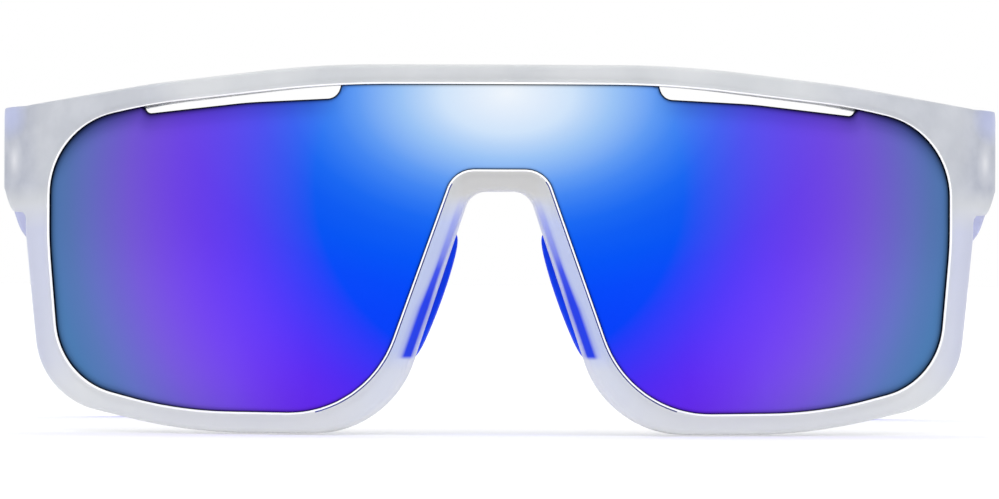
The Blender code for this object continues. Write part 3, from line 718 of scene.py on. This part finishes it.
class Nodes:
    """Short names for the few node patterns that the materials share."""

    def __init__(self, name):
        self.material = bpy.data.materials.new(name)
        self.material.use_nodes = True
        self.tree = self.material.node_tree
        self.shader = self.tree.nodes["Principled BSDF"]

    def add(self, kind, **values):
        node = self.tree.nodes.new(kind)
        for key, value in values.items():
            if key in node.inputs:
                node.inputs[key].default_value = value
            else:
                setattr(node, key, value)
        return node

    def link(self, source, target):
        self.tree.links.new(source, target)

    def set(self, **values):
        for key, value in values.items():
            self.shader.inputs[key.replace("_", " ")].default_value = value

    def noise(self, scale, detail=3.0, stretch=(1.0, 1.0, 1.0)):
        """Noise in object space; scale is in features per metre."""
        place = self.add("ShaderNodeTexCoord")
        mapping = self.add("ShaderNodeMapping")
        mapping.inputs["Scale"].default_value = stretch
        self.link(place.outputs["Object"], mapping.inputs["Vector"])
        noise = self.add("ShaderNodeTexNoise", Scale=scale, Detail=detail)
        self.link(mapping.outputs["Vector"], noise.inputs["Vector"])
        return noise.outputs["Fac"]

    def ramp(self, source, stops):
        """Colour ramp from (position, linear colour) stops."""
        node = self.add("ShaderNodeValToRGB")
        ramp = node.color_ramp
        while len(ramp.elements) < len(stops):
            ramp.elements.new(0.5)
        for element, (position, color) in zip(ramp.elements, stops):
            element.position = position
            element.color = (*color, 1.0)
        self.link(source, node.inputs["Fac"])
        return node.outputs["Color"]

    def spread(self, source, low, high):
        """Map a 0 to 1 value to a range."""
        node = self.add("ShaderNodeMapRange")
        node.inputs["To Min"].default_value = low
        node.inputs["To Max"].default_value = high
        self.link(source, node.inputs["Value"])
        return node.outputs["Result"]

    def satin(self, color, clouds, clearness):
        """A blasted translucent surface of a colour, with clouds in its roughness."""
        self.link(color, self.shader.inputs["Base Color"])
        self.link(self.spread(clouds, 0.36, 0.46), self.shader.inputs["Roughness"])
        self.bump(self.noise(5200.0, detail=2.0), distance=0.00002, strength=0.25)
        self.set(Transmission_Weight=clearness, IOR=1.45, Specular_IOR_Level=0.4)

    def clouded(self, clouds, low, high, roughness):
        """Base colour and roughness that follow one noise; low and high are screen colours."""
        tones = [(0.3, srgb(*low)), (0.7, srgb(*high))]
        self.link(self.ramp(clouds, tones), self.shader.inputs["Base Color"])
        self.link(self.spread(clouds, *roughness), self.shader.inputs["Roughness"])

    def place(self):
        """Distance to the wearer's left and height, both in millimetres."""
        place = self.add("ShaderNodeTexCoord")
        split = self.add("ShaderNodeSeparateXYZ")
        self.link(place.outputs["Object"], split.inputs[0])
        return (self.math("MULTIPLY", split.outputs["X"], 1000.0),
                self.math("MULTIPLY", split.outputs["Z"], 1000.0))

    def stored(self, name):
        return self.add("ShaderNodeAttribute", attribute_name=name).outputs["Fac"]

    def math(self, operation, first, second=0.0):
        node = self.add("ShaderNodeMath", operation=operation)
        for socket, value in zip(node.inputs, (first, second)):
            if isinstance(value, float):
                socket.default_value = value
            else:
                self.link(value, socket)
        return node.outputs[0]

    def distance_from(self, across, height, centre, ratio=1.0):
        """Distance from a centre in millimetres; ratio squeezes the circles in height."""
        across = self.math("SUBTRACT", across, centre[0])
        up = self.math("DIVIDE", self.math("SUBTRACT", height, centre[1]), ratio)
        square = self.math("ADD", self.math("MULTIPLY", across, across),
                           self.math("MULTIPLY", up, up))
        return self.math("SQRT", square)

    def band(self, source, stops):
        """Ramp over a value in millimetres, from (value, grey or linear colour) stops."""
        reach = stops[-1][0]
        tones = [(value / reach, tone if isinstance(tone, tuple) else (tone,) * 3)
                 for value, tone in stops]
        return self.ramp(self.math("DIVIDE", source, reach), tones)

    def blend(self, kind, share, first, second):
        """Mix two colours; each of the last three may be a socket or a plain value."""
        node = self.add("ShaderNodeMix", data_type="RGBA", blend_type=kind)
        for socket, value in zip((node.inputs[0], node.inputs[6], node.inputs[7]),
                                 (share, first, second)):
            if isinstance(value, float):
                socket.default_value = value
            elif isinstance(value, tuple):
                socket.default_value = (*value, 1.0)
            else:
                self.link(value, socket)
        return node.outputs[2]

    def cloudy(self, clouds, low, high):
        """A colour that drifts between two screen colours with a noise."""
        return self.ramp(clouds, [(0.35, srgb(*low)), (0.65, srgb(*high))])

    def tint(self, color, share, tone):
        """Move a colour towards a screen colour by a share."""
        return self.blend("MIX", share, color, srgb(*tone))

    def patch(self, across, across_stops, height, height_stops):
        """Share of a patch that fades out both across the front and in height."""
        return self.math("MULTIPLY", self.band(across, across_stops),
                         self.band(height, height_stops))

    def bump(self, source, distance, strength):
        node = self.add("ShaderNodeBump")
        node.inputs["Strength"].default_value = strength
        node.inputs["Distance"].default_value = distance
        self.link(source, node.inputs["Height"])
        self.link(node.outputs["Normal"], self.shader.inputs["Normal"])


COATING_CENTRE = (0.0, 35.3)
# Coating: (distance from its centre in millimetres, screen colour)
COATING = [(0.0, (6, 72, 240)), (21.0, (6, 72, 240)), (26.2, (8, 72, 240)),
           (28.4, (38, 66, 240)), (31.9, (62, 62, 239)), (35.5, (80, 58, 238)),
           (39.0, (93, 58, 236)), (42.6, (102, 60, 232)), (46.1, (109, 66, 227)),
           (49.6, (113, 75, 219)), (53.2, (113, 86, 209)), (56.7, (105, 98, 197)),
           (59.6, (96, 108, 187)), (62.4, (84, 114, 175)), (65.5, (72, 116, 168))]
# The glow is a painted highlight, standing in for a softbox's reflection on the lens.
GLOW_CENTRE = (1.0, 48.5)
GLOW_RATIO = 0.615              # its height against its width
# Glow: (distance from its centre in millimetres, share of the way to white per channel)
GLOW = [(0.0, (0.86, 0.91, 0.85)), (5.4, (0.73, 0.82, 0.75)), (9.2, (0.63, 0.76, 0.70)),
        (11.9, (0.48, 0.64, 0.50)), (15.1, (0.33, 0.52, 0.38)), (18.3, (0.22, 0.40, 0.28)),
        (21.5, (0.115, 0.28, 0.20)), (24.8, (0.055, 0.185, 0.14)),
        (28.0, (0.026, 0.125, 0.10)), (31.2, (0.009, 0.078, 0.06)),
        (35.5, (0.003, 0.044, 0.03)), (41.0, (0.0, 0.024, 0.0)),
        (47.4, (0.0, 0.006, 0.0)), (53.8, (0.0, 0.0, 0.0))]


def frosted_nylon(name, low, high):
    """Translucent nylon with a satin blasted skin, clouded between two screen colours."""
    nodes = Nodes(name)
    clouds = nodes.noise(90.0)
    nodes.satin(nodes.cloudy(clouds, low, high), clouds, clearness=0.4)
    return nodes.material


def end_piece_tones(nodes, color, across, height):
    """Cooler nylon beside the lens; on the end piece painted shade, a blue corner and a painted
    highlight.
    """
    color = nodes.tint(color, nodes.patch(
        across, [(0.0, 0.0), (60.0, 0.0), (66.0, 1.0)],
        height, [(0.0, 0.0), (5.0, 0.2), (10.0, 0.8), (29.0, 1.0), (33.0, 0.0)]),
        (215, 219, 240))
    # Painted shade over the end piece and the brow's outer end, clouded by a noise.
    share = nodes.patch(
        across, [(0.0, 0.0), (44.0, 0.0), (50.0, 0.4), (66.4, 0.45), (68.4, 0.8), (72.0, 1.0)],
        height, [(0.0, 0.0), (32.0, 0.0), (35.5, 1.0), (50.0, 1.0)])
    shade = nodes.cloudy(nodes.noise(260.0), (182, 187, 202), (204, 208, 220))
    color = nodes.blend("MIX", share, color, shade)
    corner = nodes.distance_from(across, height, (71.4, 45.5), 1.3)
    color = nodes.tint(color, nodes.band(corner, [(0.0, 0.8), (1.2, 0.65), (3.2, 0.0)]),
                       (198, 206, 248))
    # A narrow bright patch of painted highlight on the end piece's rounded side.
    highlight_streak = nodes.distance_from(across, height, (70.3, 39.0), 3.2)
    return nodes.tint(color, nodes.band(highlight_streak, [(0.0, 0.9), (0.7, 0.3), (1.3, 0.0)]),
                      (246, 247, 252))


def nose_tones(nodes, color, across, height):
    """Bluish nylon in the legs, where the pads lie behind it, and a grey bridge."""
    color = nodes.tint(color, nodes.patch(
        across, [(0.0, 1.0), (17.0, 1.0), (24.0, 0.0)],
        height, [(0.0, 0.1), (9.0, 0.25), (12.0, 0.9), (30.0, 0.9), (34.0, 0.0)]),
        (204, 216, 255))
    return nodes.tint(color, nodes.patch(
        across, [(0.0, 0.8), (5.0, 0.8), (8.0, 0.0)],
        height, [(0.0, 0.0), (32.5, 0.0), (34.5, 1.0), (38.5, 1.0), (41.0, 0.0)]),
        (210, 209, 208))


def core_share(nodes, across, height):
    """How strongly the pad's core shows: a stripe along the leg, widest in its lower half."""
    x = nodes.math("SUBTRACT", across, LEG_CENTRE[0])
    z = nodes.math("SUBTRACT", height, LEG_CENTRE[1])
    towards_lens = nodes.math("ADD", nodes.math("MULTIPLY", x, math.cos(LEG_LEAN)),
                              nodes.math("MULTIPLY", z, math.sin(LEG_LEAN)))
    off_middle = nodes.math("ABSOLUTE", nodes.math("ADD", towards_lens, CORE_SEEN_AT))
    narrowing = nodes.band(height, [(0.0, 0.52), (18.0, 0.52), (23.4, 0.9), (34.0, 0.7)])
    near = nodes.band(nodes.math("MULTIPLY", off_middle, narrowing),
                      [(0.0, 1.0), (0.22, 1.0), (0.37, 0.55), (0.5, 0.2), (0.8, 0.0)])
    along = nodes.band(height, [(0.0, 0.0), (10.6, 0.0), (11.1, 0.97), (19.0, 0.97),
                                (23.4, 0.9), (25.4, 0.62), (28.0, 0.45), (31.0, 0.32),
                                (34.0, 0.0)])
    return nodes.math("MULTIPLY", near, along)


def front_nylon():
    """The front's nylon: pale below, painted shade at its ends and painted highlight along its
    edges, blue where the pad's core shows.
    """
    nodes = Nodes("frosted_nylon_skin")
    clouds = nodes.noise(90.0)
    color = nodes.cloudy(clouds, (217, 220, 224), (229, 231, 234))
    left, height = nodes.place()
    across = nodes.math("ABSOLUTE", left)
    low = nodes.band(height, [(0.0, 0.85), (8.0, 0.7), (26.0, 0.35), (34.0, 0.0)])
    color = nodes.tint(color, low, (238, 240, 243))
    color = end_piece_tones(nodes, color, across, height)
    color = nose_tones(nodes, color, across, height)
    # Painted highlight: the nylon whitens along the rim's edges.
    rim_edge_highlight = nodes.band(nodes.stored("edge_distance"),
                          [(0.0, 0.48), (0.2, 0.27), (0.5, 0.072), (0.9, 0.0)])
    color = nodes.tint(color, rim_edge_highlight, (255, 255, 255))
    core_shows = core_share(nodes, across, height)
    color = nodes.tint(color, core_shows, (4, 58, 248))
    nodes.satin(color, clouds, clearness=0.25)
    nodes.link(nodes.spread(core_shows, 0.4, 0.0), nodes.shader.inputs["Specular IOR Level"])
    return nodes.material


def bevel_painted_highlight():
    """The cut inner edge of the rim, near-white and faintly glowing: a painted highlight,
    lighter than the blasted skin.
    """
    nodes = Nodes("bevel_painted_highlight")
    nodes.clouded(nodes.noise(120.0), (250, 251, 255), (255, 255, 255), (0.2, 0.3))
    # The faint emission is part of the painted highlight.
    nodes.set(IOR=1.45, Emission_Color=WHITE, Emission_Strength=0.1)
    return nodes.material


def leg_shade_line():
    """A thin navy line of painted shade along each nose leg, beside its bevel."""
    nodes = Nodes("leg_shade_line")
    nodes.clouded(nodes.noise(300.0), (24, 34, 96), (60, 72, 150), (0.3, 0.4))
    nodes.set(Specular_IOR_Level=0.2)
    return nodes.material


def edge_shades(nodes, color, across, height):
    """Painted shade: darken the coating in a margin along the lens's edge, and softly under the
    brow.
    """
    # The margin of painted shade is narrow at the nose and wider towards the outer corners.
    narrowing = nodes.band(across, [(0.0, 1.0), (20.0, 0.8), (55.0, 0.34), (66.0, 0.28)])
    margin = nodes.math("MULTIPLY", nodes.stored("edge_distance"), narrowing)
    edge = nodes.band(margin, [(0.0, 0.05), (0.0556, 0.30), (0.1667, 0.70), (0.3333, 0.94),
                               (0.5556, 1.0)])
    color = nodes.blend("MULTIPLY", 1.0, color, edge)
    # The painted shade under the brow is widest in the upper corners.
    under_brow = nodes.patch(
        across, [(0.0, 0.0), (21.0, 0.0), (27.0, 0.55), (48.0, 0.6), (56.0, 1.0)],
        height, [(0.0, 0.0), (36.0, 0.0), (43.0, 1.0), (52.0, 1.0)])
    near_edge = nodes.band(nodes.stored("edge_distance"),
                           [(0.0, 0.95), (1.0, 0.6), (2.6, 0.12), (3.6, 0.0)])
    shade = nodes.math("MULTIPLY", under_brow, near_edge)
    return nodes.blend("MULTIPLY", shade, color, (0.22, 0.28, 0.36))


def mirror_coating():
    """Interference mirror: blue in the middle, through violet, to slate blue outside.

    Painted highlight: a pale glow over the nose. Painted shade darkens the coating close to the
    lens's edge.
    """
    nodes = Nodes("mirror_coating")
    left, height = nodes.place()
    across = nodes.math("ABSOLUTE", left)
    color = nodes.band(nodes.distance_from(left, height, COATING_CENTRE),
                       [(reach, srgb(*tone)) for reach, tone in COATING])
    # Painted highlight: the pale glow is screened over the coating.
    glow = nodes.band(nodes.distance_from(left, height, GLOW_CENTRE, GLOW_RATIO), GLOW)
    color = nodes.blend("SCREEN", 1.0, color, glow)
    # Less green in the lower middle makes it more violet.
    low_middle = nodes.patch(across, [(0.0, 1.0), (27.0, 1.0), (38.0, 0.0)],
                             height, [(0.0, 1.0), (8.0, 1.0), (19.0, 0.45), (28.0, 0.0)])
    color = nodes.blend("MULTIPLY", low_middle, color, (1.0, 0.58, 0.93))
    color = edge_shades(nodes, color, across, height)
    nodes.link(color, nodes.shader.inputs["Base Color"])
    nodes.set(Metallic=1.0)
    haze = nodes.noise(60.0)
    nodes.link(nodes.spread(haze, 0.16, 0.20), nodes.shader.inputs["Roughness"])
    return nodes.material


def smoke_lens():
    """Back and cut edges of the lens: dark smoked polycarbonate with a blue cast."""
    nodes = Nodes("smoke_lens")
    nodes.clouded(nodes.noise(70.0), (3, 7, 26), (6, 12, 40), (0.05, 0.09))
    nodes.set(IOR=1.58, Specular_IOR_Level=0.06)
    return nodes.material


def blue_rubber():
    nodes = Nodes("blue_rubber_skin")
    nodes.clouded(nodes.noise(160.0), (6, 60, 232), (12, 72, 246), (0.5, 0.62))
    nodes.bump(nodes.noise(3800.0, detail=4.0), distance=0.00003, strength=0.35)
    nodes.set(Specular_IOR_Level=0.08)
    return nodes.material


def brushed_steel():
    nodes = Nodes("brushed_hinge_steel")
    lines = nodes.noise(2600.0, stretch=(1.0, 1.0, 0.06))
    nodes.clouded(lines, (150, 152, 158), (204, 206, 210), (0.22, 0.42))
    nodes.bump(lines, distance=0.00001, strength=0.3)
    nodes.set(Metallic=1.0)
    return nodes.material


# ---------------------------------------------------------------- studio

def area_light(name, place, target, size, power):
    data = bpy.data.lights.new(name, "AREA")
    data.shape = "RECTANGLE"
    data.size, data.size_y = size
    data.energy = power
    light = bpy.data.objects.new(name, data)
    light.location = place
    direction = Vector(target) - Vector(place)
    light.rotation_euler = direction.to_track_quat("-Z", "Y").to_euler()
    bpy.context.scene.collection.objects.link(light)


def studio():
    scene = bpy.context.scene
    scene.view_settings.view_transform = "Standard"
    world = bpy.data.worlds.new("white_room")
    world.use_nodes = True
    background = world.node_tree.nodes["Background"]
    background.inputs["Color"].default_value = WHITE
    background.inputs["Strength"].default_value = 1.0
    scene.world = world
    area_light("overhead_softbox", place=(0.0, -0.2, 2.2), target=(0.0, 0.0, 0.0),
               size=(4.0, 4.0), power=8.0)
    bpy.ops.mesh.primitive_plane_add(size=12.0, location=(0.0, 0.0, -FLOOR_DROP * MM))
    floor = bpy.context.object
    floor.name = "floor"
    nodes = Nodes("pale_floor")
    tones = [(0.3, (0.97, 0.97, 0.97)), (0.7, (0.99, 0.99, 0.99))]
    nodes.link(nodes.ramp(nodes.noise(3.0), tones), nodes.shader.inputs["Base Color"])
    nodes.set(Roughness=0.9, Emission_Color=WHITE, Emission_Strength=0.1)
    floor.data.materials.append(nodes.material)


def camera():
    data = bpy.data.cameras.new("camera")
    data.lens = CAMERA_LENS
    data.sensor_width = 36.0
    data.clip_end = 50.0
    view = bpy.data.objects.new("camera", data)
    view.location = Vector((0.0, FRONT_Y - CAMERA_DISTANCE, CAMERA_HEIGHT)) * MM
    view.rotation_euler = (math.pi / 2, CAMERA_ROLL, 0.0)
    bpy.context.scene.collection.objects.link(view)
    bpy.context.scene.camera = view


# ---------------------------------------------------------------- put together

def dress_hinges(material):
    """The steel parts keep their CAD shapes, with eased edges and a better material."""
    for name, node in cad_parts.items():
        if "leaf" in name or "hinge" in name:
            node.data.materials.clear()
            node.data.materials.append(material)
            node.data.shade_smooth()
            ease = node.modifiers.new("ease", "BEVEL")
            ease.width = HINGE_EASE * MM
            ease.segments = 2
            ease.limit_method = "ANGLE"
            ease.angle_limit = math.radians(40.0)


# The arms' lavender is painted shade with a blue cast: the tone of the arm where it lies in
# shade by the hinge.
arm_nylon = frosted_nylon("frosted_arm_skin", (178, 184, 230), (190, 196, 238))
rubber = blue_rubber()
smoke = smoke_lens()
# On the front, the smoke material also paints the rim's inner wall dark: painted shade.
make_frame(front_nylon(), bevel_painted_highlight(), leg_shade_line(), smoke)
make_lens(mirror_coating(), smoke)
for word, side in (("left", 1), ("right", -1)):
    make_pad(word, side, rubber)
    make_arm(word, side, arm_nylon)
    make_tip(word, side, rubber)
dress_hinges(brushed_steel())
camera()
studio()
